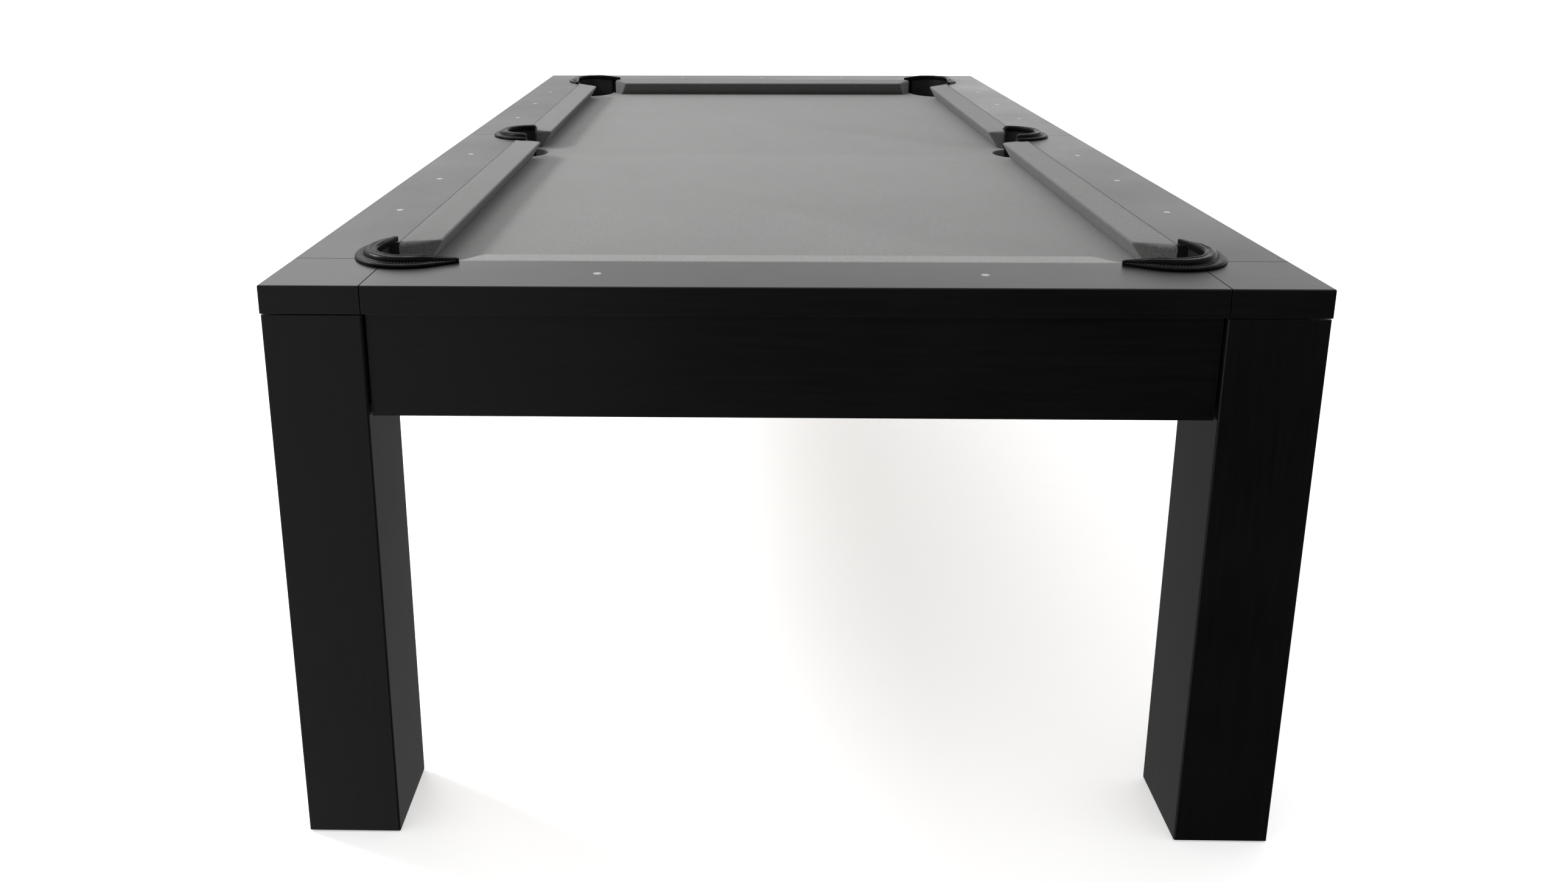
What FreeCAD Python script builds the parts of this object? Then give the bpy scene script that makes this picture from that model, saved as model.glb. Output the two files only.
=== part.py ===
import FreeCAD, Part
import math
import os

os.makedirs("parts", exist_ok=True)

# A pool table with six drop pockets, in millimetres.
# The origin is on the floor under the middle of the table, +Z is up, +Y runs along the
# table from the near end to the far end, and +X points right when looking along +Y.
# "out" is a distance measured outward from a cushion nose line, across its rail.

# Playing area, between cushion noses
PLAY_W = 990.6
PLAY_L = 1981.2

# Heights
RAIL_TOP_Z = 795.0
RAIL_RISE = 41.0
NOSE_DROP = 4.5

# Bed
CLOTH_T = 0.8
SLATE_T = 25.4
SLATE_OUT = 108.0
SLATE_JOINT = 0.2

# Rails and cushions
RAIL_OUT = 168.0
RAIL_T = 37.0
RAIL_ARRIS = 2.0
CUSHION_W = 52.0
CUSHION_UNDERCUT = 22.0
NOSE_R = 3.0
RUBBER_W = 30.0
CUSHION_SINK = 0.3
SOFT_GAP = 0.2
FACING_FOLD = 4.0
SEAM = 1.5
BLOCK = 127.0

# Cushion ends: how much wider than the pocket each mouth is at the nose, and its lean
CORNER_FLARE = 29.0
CORNER_LEAN = 34.0
SIDE_FLARE = 22.0
SIDE_LEAN = 13.0

# Pockets: centre of the round part, radius and what surrounds it
POCKET_R = 50.0
CORNER_SET = 12.0
SIDE_SET = 32.0
CORNER_SHELF = -8.5
SIDE_BED_EXTRA = 6.0
SIDE_BED_REACH = 4.0
LINER_T = 3.0
LINER_GAP = 0.5
BUCKET_CLEAR = 2.0
BUCKET_BOTTOM_Z = 640.0
ROLL_W = 18.0
ROLL_H = 12.0
FLANGE_W = 12.0
FLANGE_T = 5.0
TIP_EXTRA = 8.0
TIP_W = 6.0
ROLL_ARRIS = 2.4

# Sights
SIGHT_D = 10.5
SIGHT_T = 3.0
SIGHT_OUT = 109.0

# Legs
LEG = 127.0
LEG_SET = 1.0
LEG_TOP_GAP = 2.0
LEG_ARRIS = 2.5

# Aprons
APRON_DROP = 175.5
APRON_T = 19.0
APRON_SET = 8.0
APRON_GAP = 2.0
APRON_TOP_GAP = 0.5

# Frame under the slate
BEAM_W = 40.0
BEAM_H = 100.0
SEAM_BEAM_W = 90.0

# Fasteners
RAIL_BOLT_D = 8.0
RAIL_BOLT_HEAD = 14.0
RAIL_BOLT_HEAD_T = 5.5
RAIL_BOLT_GRIP = 24.0
RAIL_BOLT_OUT = 78.0
FRAME_BOLT_D = 10.0
FRAME_BOLT_HEAD = 17.0
FRAME_BOLT_HEAD_T = 6.5
FRAME_BOLT_GRIP = 22.0
FRAME_BOLT_OUT = 76.0
FRAME_BOLT_INSET = 30.0
BOLT_CLEAR = 0.3
SCREW_D = 5.0
SCREW_HEAD = 10.0
SCREW_HEAD_T = 3.0
SCREW_GRIP = 30.0

# Levelling feet
FOOT_PROUD = 3.0
PAD_D = 54.0
PAD_T = 5.0
HUB_D = 24.0
HUB_H = 6.0
STEM_D = 12.0
STEM_L = 86.0
STEM_SEAT_Z = 4.0
STEM_CHAMFER = 1.0
INSERT_D = 18.0
INSERT_L = 32.0
FOOT_CLEAR = 0.3
RECESS_CLEAR = 3.0
RECESS_ROOM = 2.0

# Worked out from the sizes above
NOSE_X = PLAY_W / 2
NOSE_Y = PLAY_L / 2
SIGHT_PITCH = PLAY_W / 4
BED_Z = RAIL_TOP_Z - RAIL_RISE
SLATE_TOP_Z = BED_Z - CLOTH_T
SLATE_LOW_Z = SLATE_TOP_Z - SLATE_T
SKIRT_Z = RAIL_TOP_Z - RAIL_T
BEAM_LOW_Z = SLATE_LOW_Z - BEAM_H
BLOCK_OUT = RAIL_OUT - BLOCK
LEG_FACE_OUT = RAIL_OUT - LEG_SET
LEG_INNER_OUT = LEG_FACE_OUT - LEG
LEG_MID_OUT = LEG_FACE_OUT - LEG / 2
APRON_FACE_OUT = LEG_FACE_OUT - APRON_SET
BEAM_FACE_OUT = APRON_FACE_OUT - APRON_T
BEAM_INNER_OUT = BEAM_FACE_OUT - BEAM_W
SLATE_SEAM_Y = NOSE_Y / 3
CORNER_MOUTH = POCKET_R + CORNER_FLARE
SIDE_MOUTH = POCKET_R + SIDE_FLARE
SIDE_BED_R = POCKET_R + SIDE_BED_EXTRA
CORNER_FACING = CORNER_MOUTH - CUSHION_W * math.tan(math.radians(CORNER_LEAN))
ARM_OUT = CORNER_SET + POCKET_R
TIP_REACH = POCKET_R + TIP_EXTRA
LINER_OUT = ARM_OUT + LINER_T
LINER_R = POCKET_R + LINER_T
POCKET_CUT_R = LINER_R + LINER_GAP
JAW_REACH = CORNER_MOUTH - (LINER_OUT + LINER_GAP) * math.tan(math.radians(CORNER_LEAN))

ENDS = {"near": -1, "far": 1}
SIDES = {"left": -1, "right": 1}


def vec(x, y, z=0.0):
    return FreeCAD.Vector(x, y, z)


def corner_point(a, b, z=0.0):
    """Point a and b outward of the two nose lines that cross at the far right corner."""
    return vec(NOSE_X + a, NOSE_Y + b, z)


def polygon_face(points):
    return Part.Face(Part.makePolygon(points + [points[0]]))


def edges_face(edges):
    return Part.Face(Part.Wire(Part.__sortEdges__(edges)))


def line(p, q):
    return Part.LineSegment(p, q).toShape()


def arc(p, mid, q):
    return Part.Arc(p, mid, q).toShape()


def raise_face(face, z0, z1):
    """Upright prism over a face drawn at z = 0."""
    lifted = face.copy()
    lifted.translate(vec(0, 0, z0))
    return lifted.extrude(vec(0, 0, z1 - z0))


def slab(x0, x1, y0, y1, z0, z1):
    return Part.makeBox(x1 - x0, y1 - y0, z1 - z0, vec(x0, y0, z0))


def corner_slab(a0, a1, b0, b1, z0, z1):
    return slab(NOSE_X + a0, NOSE_X + a1, NOSE_Y + b0, NOSE_Y + b1, z0, z1)


def rod(radius, start, direction, length):
    return Part.makeCylinder(radius, length, start, direction)


def flip_x(shape):
    return shape.mirror(vec(0, 0), vec(1, 0))


def flip_y(shape):
    return shape.mirror(vec(0, 0), vec(0, 1))


def to_corner(shape, side, end):
    """Copy of a far right shape at another corner, side and end being -1 or 1."""
    if side < 0:
        shape = flip_x(shape)
    if end < 0:
        shape = flip_y(shape)
    return shape


def four_corners(shape):
    return [to_corner(shape, side, end) for side in (-1, 1) for end in (-1, 1)]


def save(name, shape):
    shape.exportStep("parts/" + name + ".step")


def save_group(name, solids):
    save(name, Part.makeCompound(solids))


def round_edges(shape, radius, wanted):
    edges = [edge for edge in shape.Edges if wanted(edge)]
    return shape.makeFillet(radius, edges)


def is_upright(edge):
    first, last = edge.Vertexes[0].Point, edge.Vertexes[-1].Point
    return abs(first.x - last.x) < 1e-6 and abs(first.y - last.y) < 1e-6


# ---------------------------------------------------------------- pocket outlines


def facing_run(lean, out):
    """How far a facing that leans by an angle has moved along the rail at out."""
    return out * math.tan(math.radians(lean))


def corner_pocket_face(radius, reach):
    """Opening of the corner pocket: two jaws, two arms along the rails and a round back."""
    arm = CORNER_SET + radius
    mid = CORNER_SET + radius * math.sqrt(0.5)
    jaw = facing_run(CORNER_LEAN, arm) - CORNER_MOUTH
    return edges_face([
        line(corner_point(-CORNER_MOUTH, 0), corner_point(jaw, arm)),
        line(corner_point(jaw, arm), corner_point(CORNER_SET, arm)),
        arc(corner_point(CORNER_SET, arm), corner_point(mid, mid), corner_point(arm, CORNER_SET)),
        line(corner_point(arm, CORNER_SET), corner_point(arm, jaw)),
        line(corner_point(arm, jaw), corner_point(0, -CORNER_MOUTH)),
        line(corner_point(0, -CORNER_MOUTH), corner_point(-reach, -CORNER_MOUTH)),
        line(corner_point(-reach, -CORNER_MOUTH), corner_point(-CORNER_MOUTH, -reach)),
        line(corner_point(-CORNER_MOUTH, -reach), corner_point(-CORNER_MOUTH, 0)),
    ])


def corner_back_face(radius):
    """Plan between the arms and the round back of the corner pocket."""
    arm = CORNER_SET + radius
    mid = CORNER_SET + radius * math.sqrt(0.5)
    return edges_face([
        line(corner_point(-JAW_REACH, arm), corner_point(CORNER_SET, arm)),
        arc(corner_point(CORNER_SET, arm), corner_point(mid, mid), corner_point(arm, CORNER_SET)),
        line(corner_point(arm, CORNER_SET), corner_point(arm, -JAW_REACH)),
        line(corner_point(arm, -JAW_REACH), corner_point(-JAW_REACH, arm)),
    ])


def corner_bucket_face(wall):
    """Plan of the bucket under the corner hole, grown outward by a wall."""
    arm = ARM_OUT + wall
    mid = CORNER_SET + (POCKET_R + wall) * math.sqrt(0.5)
    reach = JAW_REACH + wall
    neck = 2 * CORNER_SHELF + reach - wall * math.sqrt(2)
    return edges_face([
        line(corner_point(-reach, arm), corner_point(CORNER_SET, arm)),
        arc(corner_point(CORNER_SET, arm), corner_point(mid, mid), corner_point(arm, CORNER_SET)),
        line(corner_point(arm, CORNER_SET), corner_point(arm, -reach)),
        line(corner_point(arm, -reach), corner_point(neck, -reach)),
        line(corner_point(neck, -reach), corner_point(-reach, neck)),
        line(corner_point(-reach, neck), corner_point(-reach, arm)),
    ])


def corner_bed_cut(z0, z1):
    """What a corner pocket takes out of the slate and its cloth."""
    far = SLATE_OUT + SEAM
    edge = JAW_REACH + LINER_GAP
    start = ARM_OUT - LINER_T
    return raise_face(edges_face([
        line(corner_point(-edge, far), corner_point(-edge, start)),
        arc(corner_point(-edge, start), corner_point(CORNER_SHELF, CORNER_SHELF),
            corner_point(start, -edge)),
        line(corner_point(start, -edge), corner_point(far, -edge)),
        line(corner_point(far, -edge), corner_point(far, far)),
        line(corner_point(far, far), corner_point(-edge, far)),
    ]), z0, z1)


def side_bed_cut(z0, z1):
    """What the right side pocket takes out of the slate and its cloth."""
    centre = vec(NOSE_X + SIDE_BED_R - SIDE_BED_REACH, 0, z0)
    hole = Part.makeCylinder(SIDE_BED_R, z1 - z0, centre)
    slot = slab(NOSE_X + SIDE_SET, NOSE_X + SLATE_OUT + SEAM, -POCKET_CUT_R, POCKET_CUT_R, z0, z1)
    front = slab(NOSE_X - SIDE_BED_REACH - 1, NOSE_X + SIDE_SET,
                 -SIDE_BED_R, SIDE_BED_R, z0, z1)
    return hole.common(front).fuse(slot)


def cut_pocket_beds(sheet, z0, z1):
    corner = corner_bed_cut(z0, z1)
    side = side_bed_cut(z0, z1)
    return sheet.cut(four_corners(corner) + [side, flip_x(side)])


# ---------------------------------------------------------------- bed


def bed_sheet(z0, z1):
    x = NOSE_X + SLATE_OUT
    y = NOSE_Y + SLATE_OUT
    return cut_pocket_beds(slab(-x, x, -y, y, z0, z1), z0, z1)


def make_bed():
    screws = slate_screws()
    save_group("slate_screws", screws)
    save("bed_cloth", bed_sheet(SLATE_TOP_Z, BED_Z).cut(rail_bolt_holes()))
    slate = bed_sheet(SLATE_LOW_Z, SLATE_TOP_Z).cut(screws).cut(rail_bolt_holes())
    x = NOSE_X + SLATE_OUT
    y = NOSE_Y + SLATE_OUT
    spans = {
        "slate_near": (-y, -SLATE_SEAM_Y - SLATE_JOINT / 2),
        "slate_middle": (-SLATE_SEAM_Y + SLATE_JOINT / 2, SLATE_SEAM_Y - SLATE_JOINT / 2),
        "slate_far": (SLATE_SEAM_Y + SLATE_JOINT / 2, y),
    }
    for name, (y0, y1) in spans.items():
        save(name, slate.common(slab(-x, x, y0, y1, SLATE_LOW_Z, SLATE_TOP_Z)))


# ---------------------------------------------------------------- cushions


def cushion_outline(inset):
    """Cushion section as (out, z) points from the seam round the nose to the bed.

    With an inset the top and the front face move in by it, and the back and the
    bottom stay where they are, as the inside of a covering does. The nose point
    lies ahead of the nose line by what rounding it takes off.
    """
    top_z = RAIL_TOP_Z - CUSHION_SINK
    nose_z = RAIL_TOP_Z - NOSE_DROP
    low_z = BED_Z + SOFT_GAP
    slope = math.atan2(top_z - nose_z, CUSHION_W)
    back = math.atan2(nose_z - low_z, CUSHION_UNDERCUT)
    half_point = (slope + back) / 2
    lead = NOSE_R * (math.cos((back - slope) / 2) / math.sin(half_point) - 1)
    shift_top = inset / math.cos(slope)
    shift_front = inset / math.sin(back)
    top_rise = math.tan(slope)
    front_run = 1 / math.tan(back)
    move_in = (shift_front + shift_top * front_run) / (1 + top_rise * front_run)
    return [
        (CUSHION_W, top_z - shift_top),
        (move_in - lead, nose_z - shift_top + (move_in - lead) * top_rise),
        (CUSHION_UNDERCUT - lead + shift_front, low_z),
        (CUSHION_W, low_z),
    ]


def end_section(points, half_length):
    """Prism with a section of (out, z) points, lying along the far end."""
    face = polygon_face([vec(-half_length, NOSE_Y + out, z) for out, z in points])
    return face.extrude(vec(2 * half_length, 0))


def side_section(points, y0, y1):
    """Prism with a section of (out, z) points, lying along the right side."""
    face = polygon_face([vec(NOSE_X + out, y0, z) for out, z in points])
    return face.extrude(vec(0, y1 - y0))


def end_cushion_plan(inset, out0=-NOSE_R):
    """Upright prism between the two facings of the far end cushion."""
    shift = inset / math.cos(math.radians(CORNER_LEAN))
    outs = (out0, CUSHION_W)
    reach = [NOSE_X - CORNER_MOUTH - shift + facing_run(CORNER_LEAN, out) for out in outs]
    face = polygon_face([
        vec(-reach[0], NOSE_Y + outs[0]), vec(reach[0], NOSE_Y + outs[0]),
        vec(reach[1], NOSE_Y + outs[1]), vec(-reach[1], NOSE_Y + outs[1]),
    ])
    return raise_face(face, BED_Z, RAIL_TOP_Z)


def side_cushion_plan(inset, out0=-NOSE_R):
    """Upright prism between the two facings of the right side's far cushion."""
    corner_shift = inset / math.cos(math.radians(CORNER_LEAN))
    side_shift = inset / math.cos(math.radians(SIDE_LEAN))
    start = SIDE_MOUTH + side_shift
    end = NOSE_Y - CORNER_MOUTH - corner_shift
    face = polygon_face([
        vec(NOSE_X + out0, start - facing_run(SIDE_LEAN, out0)),
        vec(NOSE_X + out0, end + facing_run(CORNER_LEAN, out0)),
        vec(NOSE_X + CUSHION_W, end + facing_run(CORNER_LEAN, CUSHION_W)),
        vec(NOSE_X + CUSHION_W, start - facing_run(SIDE_LEAN, CUSHION_W)),
    ])
    return raise_face(face, BED_Z, RAIL_TOP_Z)


def end_cushion_body(inset, fold=0.0):
    body = end_section(cushion_outline(inset), NOSE_X).common(end_cushion_plan(inset + fold))
    nose_y = NOSE_Y + cushion_outline(inset)[1][0]
    return round_edges(body, NOSE_R, lambda e: all(abs(v.Y - nose_y) < 1e-3 for v in e.Vertexes)
                      and e.Length > NOSE_X)


def side_cushion_body(inset, fold=0.0):
    body = side_section(cushion_outline(inset), 0, NOSE_Y).common(side_cushion_plan(inset + fold))
    nose_x = NOSE_X + cushion_outline(inset)[1][0]
    return round_edges(body, NOSE_R, lambda e: all(abs(v.X - nose_x) < 1e-3 for v in e.Vertexes)
                      and e.Length > NOSE_Y / 2)


def split_cushion(body, plan):
    """Cloth skin, rubber strip and wooden nose of one cushion.

    The rubber and the wood stop short of each facing, where the cloth is folded over.
    """
    core_inset = CLOTH_T + SOFT_GAP
    skin = body(0.0).cut(body(CLOTH_T))
    core = body(core_inset, FACING_FOLD)
    wood = core.common(plan(core_inset, RUBBER_W))
    rubber = core.cut(wood)
    return skin, rubber, wood


# ---------------------------------------------------------------- rails


def rail_outline():
    """Rail section outside the cushion, as (out, z) points."""
    return [
        (CUSHION_W, RAIL_TOP_Z),
        (RAIL_OUT, RAIL_TOP_Z),
        (RAIL_OUT, SKIRT_Z),
        (SLATE_OUT + SEAM, SKIRT_Z),
        (SLATE_OUT + SEAM, BED_Z),
        (CUSHION_W, BED_Z),
    ]


def corner_pocket_cutter():
    face = corner_pocket_face(POCKET_CUT_R, CORNER_MOUTH * 2)
    return raise_face(face, BED_Z, RAIL_TOP_Z)


def side_pocket_cutter():
    """Room for the right side pocket between its two rails."""
    back = Part.makeCylinder(POCKET_CUT_R, RAIL_RISE, vec(NOSE_X + SIDE_SET, 0, BED_Z))
    ear = SIDE_SET + LINER_T + LINER_GAP
    at_ear = SIDE_MOUTH - facing_run(SIDE_LEAN, ear)
    throat = raise_face(polygon_face([
        vec(NOSE_X, -SIDE_MOUTH), vec(NOSE_X, SIDE_MOUTH),
        vec(NOSE_X + ear, at_ear), vec(NOSE_X + ear, -at_ear),
    ]), BED_Z, RAIL_TOP_Z)
    return back.fuse(throat)


def sight_places():
    """Every sight as an (x, y) place on the rails; the near end has no middle one."""
    across = NOSE_X + SIGHT_OUT
    along = NOSE_Y + SIGHT_OUT
    sides = [(s * across, e * k * SIGHT_PITCH) for s in (-1, 1) for e in (-1, 1) for k in (1, 2, 3)]
    ends = [(k * SIGHT_PITCH, e * along) for e in (-1, 1) for k in (-1, 0, 1) if (k, e) != (0, -1)]
    return sides + ends


def sights():
    low = RAIL_TOP_Z - SIGHT_T
    return [Part.makeCylinder(SIGHT_D / 2, SIGHT_T, vec(x, y, low)) for x, y in sight_places()]


def rail_bolt_places():
    """Every rail bolt as an (x, y) place: three under each side rail, four under each end."""
    across = NOSE_X + RAIL_BOLT_OUT
    along = NOSE_Y + RAIL_BOLT_OUT
    third = (NOSE_Y - CORNER_FACING - SIDE_MOUTH) / 3
    side_ys = [SIDE_MOUTH + third * (k + 0.5) for k in range(3)]
    quarter = (NOSE_X - CORNER_FACING) / 4
    sides = [(s * across, e * y) for s in (-1, 1) for e in (-1, 1) for y in side_ys]
    ends = [(k * quarter, e * along) for e in (-1, 1) for k in (-3, -1, 1, 3)]
    return sides + ends


def hex_head(centre, direction, width, thickness):
    """Hexagon head standing on centre and growing along direction."""
    radius = width / math.sqrt(3)
    points = []
    for k in range(6):
        angle = math.radians(60 * k)
        points.append(vec(radius * math.cos(angle), radius * math.sin(angle)))
    head = polygon_face(points).extrude(vec(0, 0, thickness))
    turn = FreeCAD.Rotation(vec(0, 0, 1), direction)
    head.Placement = FreeCAD.Placement(centre, turn)
    return head


def rail_bolts():
    solids = []
    length = SLATE_T + CLOTH_T + RAIL_BOLT_GRIP
    for x, y in rail_bolt_places():
        seat = vec(x, y, SLATE_LOW_Z)
        shank = rod(RAIL_BOLT_D / 2, seat, vec(0, 0, 1), length)
        head = hex_head(seat, vec(0, 0, -1), RAIL_BOLT_HEAD, RAIL_BOLT_HEAD_T)
        solids.append(shank.fuse(head).removeSplitter())
    return solids


def rail_bolt_holes():
    depth = SLATE_T + CLOTH_T + RAIL_BOLT_GRIP
    radius = RAIL_BOLT_D / 2 + BOLT_CLEAR
    return [rod(radius, vec(x, y, SLATE_LOW_Z), vec(0, 0, 1), depth) for x, y in rail_bolt_places()]


def finish_rail(rail, wood):
    return rail.fuse(wood).cut(sights() + rail_bolt_holes()).removeSplitter()


def make_end_rail():
    half = NOSE_X + BLOCK_OUT - SEAM / 2
    skin, rubber, wood = split_cushion(end_cushion_body, end_cushion_plan)
    rail = end_section(rail_outline(), half)
    outer_y = NOSE_Y + RAIL_OUT
    rail = round_edges(rail, RAIL_ARRIS, lambda e: e.Length > NOSE_X and all(
        abs(v.Y - outer_y) < 1e-3 and abs(v.Z - RAIL_TOP_Z) < 1e-3 for v in e.Vertexes))
    pocket = corner_pocket_cutter()
    rail = rail.cut([pocket, flip_x(pocket)])
    return rail, wood, skin, rubber


def make_side_rail():
    start = SEAM / 2
    end = NOSE_Y + BLOCK_OUT - SEAM / 2
    skin, rubber, wood = split_cushion(side_cushion_body, side_cushion_plan)
    rail = side_section(rail_outline(), start, end)
    outer_x = NOSE_X + RAIL_OUT
    rail = round_edges(rail, RAIL_ARRIS, lambda e: e.Length > NOSE_Y / 2 and all(
        abs(v.X - outer_x) < 1e-3 and abs(v.Z - RAIL_TOP_Z) < 1e-3 for v in e.Vertexes))
    rail = rail.cut([corner_pocket_cutter(), side_pocket_cutter()])
    return rail, wood, skin, rubber


def make_rails():
    rubbers = []
    rail, wood, skin, rubber = make_end_rail()
    for end_name, end in ENDS.items():
        save("rail_" + end_name, finish_rail(to_corner(rail, 1, end), to_corner(wood, 1, end)))
        save("cushion_cloth_" + end_name, to_corner(skin, 1, end))
        rubbers.append(to_corner(rubber, 1, end))
    rail, wood, skin, rubber = make_side_rail()
    for side_name, side in SIDES.items():
        for end_name, end in ENDS.items():
            place = side_name + "_" + end_name
            placed = finish_rail(to_corner(rail, side, end), to_corner(wood, side, end))
            save("rail_" + place, placed)
            save("cushion_cloth_" + place, to_corner(skin, side, end))
            rubbers.append(to_corner(rubber, side, end))
    save_group("cushion_rubbers", rubbers)
    save_group("sights", sights())
    save_group("rail_bolts", rail_bolts())


def make_corner_blocks():
    inner = BLOCK_OUT + SEAM / 2
    block = corner_slab(inner, RAIL_OUT, inner, RAIL_OUT, SKIRT_Z, RAIL_TOP_Z)
    outer_x = NOSE_X + RAIL_OUT
    outer_y = NOSE_Y + RAIL_OUT

    def is_outer(edge):
        on_x = all(abs(v.X - outer_x) < 1e-3 for v in edge.Vertexes)
        on_y = all(abs(v.Y - outer_y) < 1e-3 for v in edge.Vertexes)
        on_top = all(abs(v.Z - RAIL_TOP_Z) < 1e-3 for v in edge.Vertexes)
        return (on_x and on_y) or (on_top and (on_x or on_y))

    block = round_edges(block, RAIL_ARRIS, is_outer).cut(corner_pocket_cutter())
    for side_name, side in SIDES.items():
        for end_name, end in ENDS.items():
            save("corner_block_" + side_name + "_" + end_name, to_corner(block, side, end))


# ---------------------------------------------------------------- pockets


def corner_collar_face(width):
    """Plan of the corner collar, this much wider than the pocket round its back."""
    c = CORNER_SET
    inner_mid = c + POCKET_R * math.sqrt(0.5)
    outer_r = POCKET_R + width
    tip = (-TIP_REACH, ARM_OUT)
    reach = math.hypot(tip[0] - c, tip[1] - c)
    bearing = math.atan2(tip[1] - c, tip[0] - c)
    touch = bearing - math.acos(outer_r / reach)
    outer = (c + outer_r * math.cos(touch), c + outer_r * math.sin(touch))
    outer_mid = c + outer_r * math.sqrt(0.5)
    tip_in = ARM_OUT - TIP_W
    return edges_face([
        line(corner_point(*tip), corner_point(*outer)),
        arc(corner_point(*outer), corner_point(outer_mid, outer_mid),
            corner_point(outer[1], outer[0])),
        line(corner_point(outer[1], outer[0]), corner_point(tip[1], tip[0])),
        line(corner_point(tip[1], tip[0]), corner_point(tip_in, tip[0])),
        line(corner_point(tip_in, tip[0]), corner_point(ARM_OUT, c)),
        arc(corner_point(ARM_OUT, c), corner_point(inner_mid, inner_mid),
            corner_point(c, ARM_OUT)),
        line(corner_point(c, ARM_OUT), corner_point(tip[0], tip_in)),
        line(corner_point(tip[0], tip_in), corner_point(*tip)),
    ])


def side_collar_face(width):
    """Plan of the right side pocket's collar: half a ring."""
    x = NOSE_X + SIDE_SET
    outer = POCKET_R + width
    return edges_face([
        line(vec(x, POCKET_R), vec(x, outer)),
        arc(vec(x, outer), vec(x + outer, 0), vec(x, -outer)),
        line(vec(x, -outer), vec(x, -POCKET_R)),
        arc(vec(x, -POCKET_R), vec(x + POCKET_R, 0), vec(x, POCKET_R)),
    ])


def collar(plan):
    """Leather collar: a thin stitched flange with a padded roll on its inner edge."""
    flange = raise_face(plan(ROLL_W + FLANGE_W), RAIL_TOP_Z, RAIL_TOP_Z + FLANGE_T)
    crown = plan(ROLL_W)
    roll = raise_face(crown, RAIL_TOP_Z, RAIL_TOP_Z + ROLL_H)
    top = RAIL_TOP_Z + ROLL_H
    roll = round_edges(roll, ROLL_ARRIS, lambda e: all(abs(v.Z - top) < 1e-3 for v in e.Vertexes)
                       and e.Length > ROLL_W * 2)
    return flange.fuse(roll).removeSplitter()


def corner_liner():
    """Pocket liner and bucket in one moulding, open at the top and towards the bed."""
    low = BUCKET_BOTTOM_Z
    rim = SLATE_LOW_Z - LINER_GAP
    bucket = raise_face(corner_bucket_face(LINER_T), low, rim)
    bucket = bucket.cut(raise_face(corner_bucket_face(0), low + LINER_T, rim))
    back = raise_face(corner_back_face(LINER_R), rim, RAIL_TOP_Z)
    back = back.cut(raise_face(corner_back_face(POCKET_R), rim, RAIL_TOP_Z))
    return bucket.fuse(back).removeSplitter()


def side_liner():
    """Right side pocket's liner and bucket in one moulding."""
    low = BUCKET_BOTTOM_Z
    rim = SLATE_LOW_Z - LINER_GAP
    x = NOSE_X + SIDE_SET

    def tube(outer, inner, z0, z1):
        wall = Part.makeCylinder(outer, z1 - z0, vec(x, 0, z0))
        return wall.cut(Part.makeCylinder(inner, z1 - z0, vec(x, 0, z0)))

    bed_side = slab(0, x, -NOSE_Y, NOSE_Y, low, RAIL_TOP_Z)
    floor = Part.makeCylinder(LINER_R + LINER_T, LINER_T, vec(x, 0, low))
    bucket = tube(LINER_R + LINER_T, LINER_R, low + LINER_T, rim)
    ledge = tube(LINER_R, POCKET_R, rim - LINER_T, rim).cut(bed_side)
    back = tube(LINER_R, POCKET_R, rim, RAIL_TOP_Z).cut(bed_side)
    ear_y = SIDE_MOUTH - facing_run(SIDE_LEAN, SIDE_SET + LINER_T) - LINER_GAP
    ear = slab(x, x + LINER_T, POCKET_R, ear_y, BED_Z + LINER_GAP, RAIL_TOP_Z)
    return floor.fuse([bucket, ledge, back, ear, flip_y(ear)]).removeSplitter()


def make_pockets():
    leather = collar(corner_collar_face)
    liner = corner_liner()
    for side_name, side in SIDES.items():
        for end_name, end in ENDS.items():
            place = side_name + "_" + end_name
            save("pocket_collar_" + place, to_corner(leather, side, end))
            save("pocket_liner_" + place, to_corner(liner, side, end))
    leather = collar(side_collar_face)
    liner = side_liner()
    for side_name, side in SIDES.items():
        save("pocket_collar_" + side_name, to_corner(leather, side, 1))
        save("pocket_liner_" + side_name, to_corner(liner, side, 1))


# ---------------------------------------------------------------- frame


def frame_bolt_places():
    """Seat point and direction of the far right leg's four bolts."""
    places = []
    for z in (BEAM_LOW_Z + FRAME_BOLT_INSET, SLATE_LOW_Z - FRAME_BOLT_INSET):
        places.append((corner_point(BEAM_INNER_OUT, FRAME_BOLT_OUT, z), vec(1, 0)))
        places.append((corner_point(FRAME_BOLT_OUT, BEAM_INNER_OUT, z), vec(0, 1)))
    return places


def frame_bolts():
    bolts = []
    length = BEAM_W + FRAME_BOLT_GRIP
    for seat, direction in frame_bolt_places():
        shank = rod(FRAME_BOLT_D / 2, seat, direction, length)
        head = hex_head(seat, direction * -1, FRAME_BOLT_HEAD, FRAME_BOLT_HEAD_T)
        bolts.append(shank.fuse(head).removeSplitter())
    return bolts


def frame_bolt_holes():
    radius = FRAME_BOLT_D / 2 + BOLT_CLEAR
    length = BEAM_W + FRAME_BOLT_GRIP
    holes = [rod(radius, seat, direction, length) for seat, direction in frame_bolt_places()]
    return [to_corner(hole, side, end) for hole in holes for side in (-1, 1) for end in (-1, 1)]


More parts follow.
